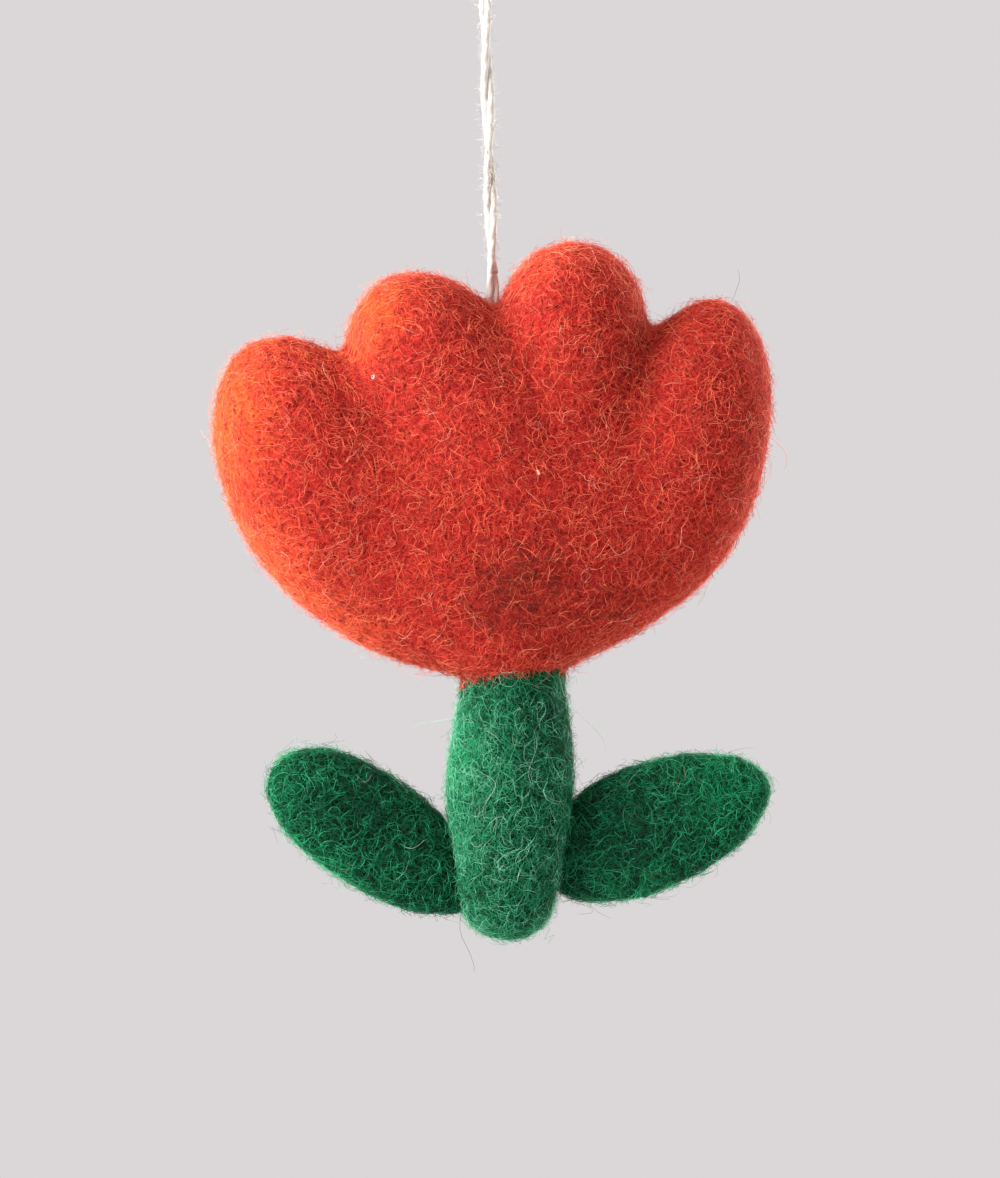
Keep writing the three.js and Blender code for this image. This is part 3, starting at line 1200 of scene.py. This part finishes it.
@dataclass(frozen=True)
class FibreCoat:
    """A coat of loose fibres, in millimetres and radians. Each span is of a least and a greatest value.

    Loft is the rise of a fibre's middle, loose the share of fibres with a raised end and lift the rise of
    that end. Curl is the bend per millimetre, steps the points along a fibre and wander the chance turn
    at each of them. Tints are the numbers to choose from, or none for all of them by their shares. Grain
    is how much the fibres run along x, y and z, and stand is their least rise.
    """

    length: Span
    loft: Span
    loose: float
    lift: Span
    curl: float
    steps: int
    thickness: Span
    count: int = 0
    tints: tuple[int, ...] = ()
    grain: Place = (1, 1, 1)
    wander: float = 0.3
    stand: float = 0.02

    def grow(self, ground: Ground, rng: Chance) -> Strands:
        """Lays the fibres all over a surface, each in its own direction, with no tints yet."""
        starts, normals = ground.scatter(self.count, rng)
        return self.lay(ground, starts, normals, rng.normal(size=starts.shape) * self.grain, rng)

    def lay(self, ground: Ground, starts: Rows, normals: Rows, headings: Rows, rng: Chance) -> Strands:
        """Lays fibres on a surface from given places.

        Args:
            ground: The surface.
            starts: Where the fibres start, one row each.
            normals: The surface's normals there.
            headings: Which way the fibres set out.
            rng: Source of chance.

        Returns:
            The fibres, with no tints yet.
        """
        count = len(starts)
        pace = rng.uniform(*self.length, (count, 1)) / (self.steps - 1)
        curl = rng.normal(0, self.curl, (count, 1))
        change = rng.normal(0, self.curl, (count, 1))
        lines, ups = [starts], [normals]
        for gone in np.linspace(-1, 1, self.steps - 1):
            headings = unit(headings - normals * (headings * normals).sum(axis=1, keepdims=True))
            bend = (curl + change * gone) * pace + rng.normal(0, self.wander, (count, 1))
            headings = headings * np.cos(bend) + np.cross(normals, headings) * np.sin(bend)
            starts, normals = ground.nearest(starts + headings * pace * MM)
            lines.append(starts)
            ups.append(normals)
        lines = np.stack(lines, axis=1)
        ups = np.stack(ups, axis=1)
        share = np.linspace(0, 1, self.steps)
        raised = np.where(rng.random((count, 1)) < self.loose, rng.uniform(*self.lift, (count, 1)), 0)
        arch = rng.uniform(*self.loft, (count, 1)) * np.sin(share * math.pi)
        rise = self.stand + arch + raised * share**2
        radii = rng.uniform(*self.thickness, count) / 2 * MM
        return Strands(lines + ups * rise[..., None] * MM, ups, radii, np.zeros(count, int))


@dataclass(frozen=True)
class Stray:
    """One long fibre that stands away from the felt.

    Its places are x and z as the front shows them, in millimetres, as are its radius and its stand from
    the felt. Of the steps drawn through the places, the first most_points are kept.
    """

    tint: int
    places: tuple[Span, ...]
    radius: float = 0.03
    stand: float = 0.15
    steps: int = 24
    most_points: int = 19

    def line(self, ground: Ground) -> Strands:
        """Draws the fibre over the front of the felt, or in the middle plane where it stands out.

        Args:
            ground: The felt's surface.

        Returns:
            The one fibre.
        """
        points = [ground.front(across * MM, height * MM) for across, height in self.places]
        line = smooth_route(np.array(points), self.steps // (len(points) - 1))[: self.most_points]
        away = np.broadcast_to((0.0, -1.0, 0.0), line.shape)
        radius = np.array([self.radius * MM])
        raised = line + away * self.stand * MM
        return Strands(raised[None], away[None], radius, np.array([self.tint]))


@dataclass(frozen=True)
class Hem:
    """Red wisps that hang from the flower's underside over the top of the stem, in millimetres.

    They start between two heights from where the stem enters the flower. The tongue is the longest tuft,
    and the gap is where the hem is shortest, both placed in degrees about the stem from +X. The rest
    hangs in scallops, and stray_way is how far the wisps turn from straight down.
    """

    wisps: FibreCoat
    start: Span = (1.5, 3.8)
    tongue: float = 198.0
    tongue_share: float = 0.06
    tongue_drop: float = 1.4
    gap: float = 318.0
    gap_rise: float = 2.2
    tongue_spread: float = 6.0
    gap_sharpness: float = 6.0
    scallops: int = 5
    scallop_drop: float = 0.4
    stray_way: float = 0.45

    def grow(self, stem: Stem, ground: Ground, rng: Chance) -> Strands:
        """Lays the wisps down the stem's side.

        Args:
            stem: The stem's sizes.
            ground: The stem's surface.
            rng: Source of chance.

        Returns:
            The wisps, with no tints yet.
        """
        count = self.wisps.count
        tuft = rng.random(count) < self.tongue_share
        hanging = rng.normal(self.tongue, self.tongue_spread, count)
        turn = np.radians(np.where(tuft, hanging, rng.uniform(0, 360, count)))
        near_gap = np.cos(turn - math.radians(self.gap))
        gap = self.gap_rise * np.exp(self.gap_sharpness * near_gap - self.gap_sharpness)
        drop = np.where(tuft, self.tongue_drop, self.scallop_drop * np.sin(self.scallops * turn))
        height = rng.uniform(*self.start, count) + gap - drop
        around = np.column_stack([np.cos(turn), np.sin(turn)]) * stem.neck / 2
        places = np.column_stack([around, height]) * MM
        frame = np.array(stem.frame())
        starts, normals = ground.nearest(places @ frame[:3, :3].T + frame[:3, 3])
        headings = rng.normal(0, self.stray_way, starts.shape) - (0, 0, 1)
        return self.wisps.lay(ground, starts, normals, headings, rng)


@dataclass
class FeltCover:
    """Everything that makes one felt piece look felted: its finish, its loose fibres and their tints."""

    name: str
    finish: FeltFinish
    tints: tuple[FibreTint, ...]
    coats: tuple[FibreCoat, ...]
    seed: int
    strays: tuple[Stray, ...] = ()
    most_fibres: int = 4400

    def pick_tints(self, strands: Strands, coat: FibreCoat, rng: Chance) -> None:
        """Gives each fibre a tint, by chance and by the patch that it lies on; patches carry dye, painted
        light and painted shade.

        Args:
            strands: The fibres to tint.
            coat: The coat that they belong to.
            rng: Source of chance.
        """
        starts = strands.lines[:, 0]
        shares = np.array([tint.share for tint in self.tints])
        if coat.tints:
            strands.tints = rng.choice(coat.tints, len(starts))
        else:
            strands.tints = rng.choice(len(self.tints), len(starts), p=shares / shares.sum())
        for patch in self.finish.patches:
            away = np.linalg.norm(starts - np.array(patch.centre) * MM, axis=1) / (patch.reach * MM)
            # At full strength to half of the patch's reach, and gone a fifth beyond it
            taken = rng.random(len(starts)) < patch.strength * np.clip(1.7 - 1.4 * away, 0, 1)
            strands.tints[taken] = rng.choice(patch.tints, taken.sum())

    def build(self, ground: Ground, others: list[Ground], materials: list[Material]) -> None:
        """Grows the coats and makes them into pieces that ride on the ornament.

        Args:
            ground: The felt's surface.
            others: Shapes that the fibres keep out of.
            materials: The material of each tint number.
        """
        rng = np.random.default_rng(self.seed)
        for layer, coat in enumerate(self.coats):
            strands = coat.grow(ground, rng)
            for other in others:
                strands = strands.clear_of(other)
            strands = strands.only(string_keeps_clear(strands.lines))
            self.pick_tints(strands, coat, rng)
            for start in range(0, len(strands.radii), self.most_fibres):
                label = f"{self.name}_fibres_{layer}_{start // self.most_fibres}"
                part = strands.only(slice(start, start + self.most_fibres))
                attach(part.build(label, materials))
        for number, stray in enumerate(self.strays):
            attach(stray.line(ground).build(f"{self.name}_stray_{number}", materials))


NOD_PIVOT = -82 * MM
STRING_ROOM = 1.2 * MM
NOD_COSINE = 0.45


def string_keeps_clear(lines: Rows) -> Rows:
    """Tells which fibres stay out of the room that the string needs as the flower nods.

    Args:
        lines: Points of the fibres in metres, by fibre, step and axis.

    Returns:
        One truth value per fibre.
    """
    over = lines[..., 2] - NOD_PIVOT
    reach = np.hypot(lines[..., 1], over)
    swept = (np.abs(lines[..., 0]) < STRING_ROOM) & (over > NOD_COSINE * reach)
    return ~swept.any(axis=1)


def attach(piece: Piece) -> None:
    """Fixes a dressed piece to the ornament.

    Args:
        piece: The piece.
    """
    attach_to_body(piece, Body.ORNAMENT.value)
    LOG.info("%s: %d faces", piece.name, len(piece.data.polygons))


@dataclass
class Studio:
    """Camera, light and the pale surroundings, in metres."""

    look_at: Place = (-0.12 * MM, 0.0, -124.5 * MM)
    frame_height: float = 168.05 * MM
    distance: float = 0.7
    roll: float = math.atan(8 / 300)
    sensor: float = 36.0
    backdrop: Colour = linear(219, 215, 216)
    ambient: float = 0.23
    floor_height: float = -0.36
    floor_radius: float = 0.55

    def camera(self) -> None:
        """Sets the camera level with the flower, turned by the roll that the string shows."""
        Bench.clear()
        place = Vector(self.look_at) - Vector((0, self.distance, 0))
        bpy.ops.object.camera_add(location=place)
        camera = bpy.context.object
        camera.name = "front_camera"
        level = Matrix.Rotation(math.pi / 2, 3, "X")
        camera.rotation_euler = (Matrix.Rotation(self.roll, 3, "Y") @ level).to_euler()
        camera.data.sensor_width = self.sensor
        camera.data.lens = self.sensor * self.distance / self.frame_height
        camera.data.clip_start = 0.01
        bpy.context.scene.camera = camera

    def _panel(self, name: str, place: Place, size: float, power: float) -> None:
        """Hangs a square soft light that faces the flower.

        Args:
            name: The light's name.
            place: Where it hangs, from the point looked at.
            size: Its side.
            power: Its power in watts.
        """
        Bench.clear()
        bpy.ops.object.light_add(type="AREA", location=Vector(self.look_at) + Vector(place))
        panel = bpy.context.object
        panel.name = name
        panel.rotation_euler = (-Vector(place)).to_track_quat("-Z", "Y").to_euler()
        panel.data.size = size
        panel.data.energy = power

    def lights(self) -> None:
        """Sets a soft key light on the left, weak fills, and rim lights behind that catch the fuzz."""
        self._panel("key_light", (-0.362, -0.16, 0.12), 0.3, 4.85)
        self._panel("top_fill", (0.0, -0.25, 0.85), 0.7, 5.5)
        self._panel("front_fill", (-0.2, -0.9, 0.1), 0.8, 0.4)
        self._panel("right_fill", (0.88, 0.05, 0.05), 0.7, 4.0)
        self._panel("left_rim_light", (-0.5, 0.6, 0.1), 0.7, 1.4)
        self._panel("right_rim_light", (0.55, 0.6, 0.15), 0.7, 11.5)

    def room(self) -> None:
        """Makes the pale backdrop, which lights the flower less than it shows."""
        world = bpy.data.worlds.new("pale_room")
        world.use_nodes = True
        bpy.context.scene.world = world
        graph = Graph(world.node_tree)
        seen = graph.seen_directly()
        dim = graph.node("ShaderNodeBackground", {"Color": self.backdrop, "Strength": self.ambient})
        plain = graph.node("ShaderNodeBackground", {"Color": self.backdrop, "Strength": 1.0})
        both = graph.node("ShaderNodeMixShader", {0: seen, 1: dim.outputs[0], 2: plain.outputs[0]})
        graph.node("ShaderNodeOutputWorld", {"Surface": both.outputs[0]})

    def floor(self) -> None:
        """Lays a floor well below, which throws light up as white card does and looks grey."""
        Bench.clear()
        bpy.ops.mesh.primitive_circle_add(vertices=96, radius=self.floor_radius, fill_type="NGON")
        floor = bpy.context.object
        floor.name = "pale_floor"
        floor.data.transform(Matrix.Translation((0, 0, self.floor_height)))
        made, graph, place = start_material("pale_floor")
        grain = graph.noise(place, 30.0, 2.0)
        card = graph.mix(grain, linear(234, 230, 231), linear(240, 236, 237))
        grey = graph.mix(grain, linear(148, 145, 146), linear(154, 151, 152))
        graph.surface({"Base Color": graph.mix(graph.seen_directly(), card, grey), "Roughness": 0.9})
        floor.data.materials.append(made)

    def build(self) -> None:
        """Sets up the whole studio."""
        self.camera()
        self.lights()
        self.room()
        self.floor()
        bpy.context.scene.view_settings.view_transform = "Standard"


RED_TINTS = (
    FibreTint("red_fibre_deep", linear(146, 28, 24), 0.12),
    FibreTint("red_fibre", linear(200, 48, 41), 0.32),
    FibreTint("red_fibre_vermilion", linear(234, 88, 66), 0.34),
    FibreTint("red_fibre_orange", linear(252, 134, 94), 0.2),
    FibreTint("red_fibre_amber", linear(248, 126, 50), 0.006),
    FibreTint("red_fibre_peach", linear(248, 180, 156), 0.007),
    FibreTint("red_fibre_white", linear(236, 228, 218), 0.0),
    FibreTint("red_fibre_brown", linear(92, 38, 24), 0.006),
)
STEM_TINTS = (
    FibreTint("stem_fibre_deep", linear(2, 48, 27), 0.2),
    FibreTint("stem_fibre", linear(12, 112, 69), 0.32),
    FibreTint("stem_fibre_mint", linear(54, 180, 124), 0.3),
    FibreTint("stem_fibre_pale", linear(150, 232, 190), 0.09),
    FibreTint("stem_fibre_white", linear(220, 234, 222), 0.006),
    FibreTint("stem_fibre_dark", linear(8, 20, 15), 0.03),
)
LEAF_TINTS = (
    FibreTint("leaf_fibre_deep", linear(1, 34, 19), 0.3),
    FibreTint("leaf_fibre", linear(5, 84, 50), 0.36),
    FibreTint("leaf_fibre_mid", linear(12, 150, 94), 0.27),
    FibreTint("leaf_fibre_pale", linear(66, 200, 138), 0.07),
    FibreTint("leaf_fibre_white", linear(214, 226, 214), 0.002),
    FibreTint("leaf_fibre_tan", linear(168, 92, 62), 0.002),
)
RED = FeltFinish(
    Slot.RED,
    deep=linear(112, 16, 14),
    body=linear(168, 34, 30),
    strand=linear(228, 82, 62),
    rim=linear(255, 138, 78),
    patches=(
        DyeAndLightPatch((-39, -4, -100), 15, linear(240, 106, 38), 0.7, (2, 3, 4)),
        DyeAndLightPatch((-34, -4, -119), 13, linear(240, 100, 42), 0.6, (2, 3, 3, 4)),
        DyeAndLightPatch((-24, -4, -131), 12, linear(236, 96, 46), 0.55, (2, 3, 3)),
        DyeAndLightPatch((-18, -8, -85), 9, linear(242, 106, 36), 0.65, (2, 3, 4)),
        DyeAndLightPatch((6, -8, -78), 7, linear(230, 86, 50), 0.4, (2, 3)),
        DyeAndLightPatch((3, -13, -125), 9, linear(116, 40, 26), 0.5, (0, 7, 7)),
        DyeAndLightPatch((16, -11, -128), 5, linear(116, 40, 26), 0.4, (0, 7)),
    ),
)
STEM_GREEN = FeltFinish(
    Slot.STEM,
    deep=linear(0, 14, 7),
    body=linear(2, 52, 29),
    strand=linear(40, 150, 100),
    rim=linear(90, 220, 160),
    patches=(
        # Painted light: lighter green down the stem's lit left side.
        DyeAndLightPatch((-8, -5, -147), 9, linear(18, 108, 68), 0.65, (2, 2, 3)),
        DyeAndLightPatch((-9, -5, -160), 7, linear(14, 100, 62), 0.4, (2, 2, 3)),
        # Painted shade: darker green at the top of the stem's right side, under the flower.
        DyeAndLightPatch((9, -3, -145), 8, linear(0, 30, 16), 0.35, (0, 0, 5)),
    ),
)
LEAF_GREEN = FeltFinish(
    Slot.LEAF,
    deep=linear(0, 12, 6),
    body=linear(1, 38, 21),
    strand=linear(10, 112, 70),
    rim=linear(30, 195, 120),
    patches=(
        # Painted light: lighter green at the right leaf's tip and on its lower part.
        DyeAndLightPatch((33, -4, -153), 11, linear(6, 84, 50), 0.5, (2, 2, 3)),
        DyeAndLightPatch((17, -3, -167), 8, linear(4, 70, 42), 0.4, (2, 2, 3)),
        # Painted light: lighter green at the left leaf's tip.
        DyeAndLightPatch((-33, -3, -151), 7, linear(6, 84, 50), 0.4, (2, 2, 3)),
        # Painted shade: darker green in the middle of the left leaf and at the right leaf's inner end
        # beside the stem.
        DyeAndLightPatch((-22, -8, -157), 9, linear(0, 24, 13), 0.3, (0, 1, 1)),
        DyeAndLightPatch((17, -8, -160), 8, linear(0, 24, 13), 0.5, (0, 0, 1)),
        # Painted light: lighter green along the left leaf's lower edge.
        DyeAndLightPatch((-26, -2, -165), 8, linear(6, 90, 54), 0.55, (2, 2, 3)),
    ),
)
RAW_WOOL = FeltFinish(
    Slot.WOOL,
    deep=linear(205, 192, 168),
    body=linear(232, 222, 202),
    strand=linear(246, 240, 226),
    rim=linear(250, 246, 236),
)
# The groove colour is painted shade between the plies.
COTTON = CottonFinish(Slot.COTTON, crown=linear(212, 206, 198), groove=linear(204, 193, 180))
COTTON_FUZZ = FibreTint("cotton_fibre", linear(212, 206, 198), 1.0)

MATTED = FibreCoat(
    length=(1.4, 4.4),
    loft=(0.03, 0.35),
    loose=0.25,
    lift=(0.3, 1.2),
    curl=0.55,
    steps=6,
    thickness=(0.04, 0.075),
)
NAP = FibreCoat(
    length=(0.7, 1.7),
    loft=(0.0, 0.1),
    loose=1.0,
    lift=(0.4, 1.2),
    curl=0.6,
    steps=4,
    thickness=(0.03, 0.05),
    # Only the middle and lighter tints: painted light for the glow of light through standing fuzz.
    tints=(1, 2, 2, 3),
)
FLYAWAY = FibreCoat(
    length=(3.0, 8.0),
    loft=(0.2, 1.0),
    loose=0.8,
    lift=(0.6, 2.6),
    curl=0.8,
    steps=10,
    thickness=(0.035, 0.05),
)
WISPS = FibreCoat(
    length=(1.0, 2.4),
    loft=(0.05, 0.3),
    loose=0.3,
    lift=(0.2, 0.8),
    curl=0.5,
    steps=6,
    thickness=(0.07, 0.12),
    count=900,
)
HEM = Hem(WISPS)

FLOWER_COVER = FeltCover(
    "flower",
    RED,
    RED_TINTS,
    (
        replace(MATTED, count=25000),
        replace(NAP, count=8500),
        # No deep or brown tints on the loose fibres: painted light for the glow through them.
        replace(FLYAWAY, count=1000, thickness=(0.03, 0.045), tints=(1, 2, 3, 3, 5)),
    ),
    seed=11,
    strays=(
        Stray(3, ((37.5, -103.6), (39.5, -104.3), (41.2, -106.5), (40.8, -108.6), (39.3, -107.9))),
        Stray(7, ((34, -84.5), (34.7, -82.8), (35.2, -80.6), (33.8, -77.3))),
        Stray(6, ((5.5, -108.0), (5.7, -108.3), (5.8, -108.6), (5.9, -109.1)), 0.2),
        Stray(6, ((-17.4, -94.1), (-17.0, -94), (-17.1, -94.5), (-17.4, -94.3), (-17.2, -94.8)), 0.09),
    ),
)
STEM_COVER = FeltCover(
    "stem",
    STEM_GREEN,
    STEM_TINTS,
    (
        replace(MATTED, count=8800, thickness=(0.028, 0.052), curl=0.35, grain=(1, 1, 2.5)),
        replace(NAP, count=2800),
        replace(FLYAWAY, count=200, tints=(1, 2, 2, 3, 5)),
    ),
    seed=23,
    strays=(
        Stray(5, ((-6.5, -168.5), (-7.1, -173), (-5.7, -176.6), (-5.3, -179), (-7.2, -179.8))),
        Stray(3, ((6.5, -139.1), (11.6, -143.5), (14.4, -147.2), (12.9, -150))),
        Stray(3, ((-6.5, -142.4), (-9, -143), (-12.6, -143.6), (-14.8, -145.7))),
        Stray(4, ((2, -141), (4.5, -146), (3.2, -151), (5.8, -155))),
        Stray(4, ((-4, -150), (-1.5, -152), (-3.4, -156), (-1, -160))),
    ),
)


def leaf_cover(name: str, matted: int, nap: int, seed: int) -> FeltCover:
    """Gives the cover of one leaf.

    Args:
        name: The leaf's name.
        matted: How many matted fibres it has.
        nap: How many fibres of nap it has.
        seed: Seed of its fibres.

    Returns:
        The cover.
    """
    coats = (
        replace(MATTED, count=matted),
        # Lighter tints on the leaves' nap: painted light for the glow through standing fuzz.
        replace(NAP, count=nap, tints=(1, 2, 2, 3, 3)),
        replace(FLYAWAY, count=120, tints=(0, 1, 2, 2)),
    )
    return FeltCover(name, LEAF_GREEN, LEAF_TINTS, coats, seed)


LEFT_LEAF = Leaf(
    "left_leaf_felt", side=-1, rise=3.2, length=36.3, width=16.9, tilt=31.5, forward=10, swell=0.1
)
RIGHT_LEAF = Leaf(
    "right_leaf_felt", side=1, rise=8.2, length=36.2, width=18.7, tilt=23.4, forward=8, swell=-0.06
)
LEFT_COVER = leaf_cover("left_leaf", 4200, 1800, 31)
RIGHT_COVER = leaf_cover("right_leaf", 4500, 2000, 37)


def dress(piece: Piece, material: Material) -> None:
    """Gives a piece its one finish."""
    piece.data.materials.clear()
    piece.data.materials.append(material)


def build_string(sizes: HangingString) -> None:
    """Args:
        sizes: The string's sizes.
    """
    cotton = COTTON.material(sizes.plies, sizes.ply_pitch)
    string = sizes.build()
    anchor = sizes.build_anchor()
    dress(string, cotton)
    dress(anchor, cotton)
    rng = np.random.default_rng(FUZZ_SEED)
    fuzz = sizes.fuzz(rng).build("string_fuzz", [COTTON_FUZZ.material()])
    for piece in (string, anchor, fuzz):
        LOG.info("%s: %d faces", piece.name, len(piece.data.polygons))
    for piece in (string, fuzz):
        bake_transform(piece)
    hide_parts("loop_eye", "string_leg_left", "string_leg_right")
    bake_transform(anchor)
    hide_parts("anchor_knot")


def build_felt(effects: SurfaceEffects, string: HangingString) -> None:
    """Makes the flower, the stem and the leaves, with the wool inside them and the fibres on them.

    Args:
        effects: The shared surface effects.
        string: The string's sizes, for the hole that it presses into the wool.
    """
    flower_sizes = Flower()
    flower = flower_sizes.build()
    stem_sizes = Stem()
    stem = stem_sizes.build()
    left = LEFT_LEAF.build(stem_sizes)
    right = RIGHT_LEAF.build(stem_sizes)
    grounds = {piece: Ground(piece) for piece in (flower, stem, left, right)}
    flower_wool = flower_sizes.build_core()
    stem_wool = stem_sizes.build_core()
    channel = string.build_channel()
    seam = flower_sizes.seam
    Bench.cut(flower, flower_wool, seam)
    Bench.cut(flower, stem, seam / 2)
    Bench.cut(flower, channel, seam)
    Bench.cut(flower_wool, stem, seam / 2)
    Bench.cut(flower_wool, stem_wool, seam / 2)
    Bench.cut(flower_wool, channel, seam)
    Bench.cut(left, stem, seam / 2)
    Bench.cut(right, stem, seam / 2)
    Bench.cut(stem, stem_wool, seam)
    bpy.data.objects.remove(channel)
    felted = (
        (flower_wool, RAW_WOOL, "flower_core"),
        (stem_wool, RAW_WOOL, "stem_core"),
        (flower, RED, "flower_cover"),
        (stem, STEM_GREEN, "stem_cover"),
        (left, LEAF_GREEN, "left_leaf"),
        (right, LEAF_GREEN, "right_leaf"),
    )
    finishes = {finish: finish.material(effects) for finish in (RAW_WOOL, RED, STEM_GREEN, LEAF_GREEN)}
    for piece, finish, node in felted:
        dress(piece, finishes[finish])
        attach(piece)
        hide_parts(node)
    tints = {kind: [tint.material() for tint in kind] for kind in (RED_TINTS, STEM_TINTS, LEAF_TINTS)}
    covers = {flower: FLOWER_COVER, stem: STEM_COVER, left: LEFT_COVER, right: RIGHT_COVER}
    for piece, cover in covers.items():
        others = [ground for other, ground in grounds.items() if other is not piece]
        cover.build(grounds[piece], others, tints[cover.tints])
    rng = np.random.default_rng(HEM_SEED)
    wisps = HEM.grow(stem_sizes, grounds[stem], rng)
    FLOWER_COVER.pick_tints(wisps, WISPS, rng)
    attach(wisps.build("flower_hem", tints[RED_TINTS]))


def main() -> None:
    """Builds the studio, the string and the felt, in that order."""
    logging.basicConfig(level=logging.INFO, format="%(message)s")
    Studio().build()
    string = HangingString()
    build_string(string)
    build_felt(SurfaceEffects(), string)


if __name__ == "__main__":
    main()
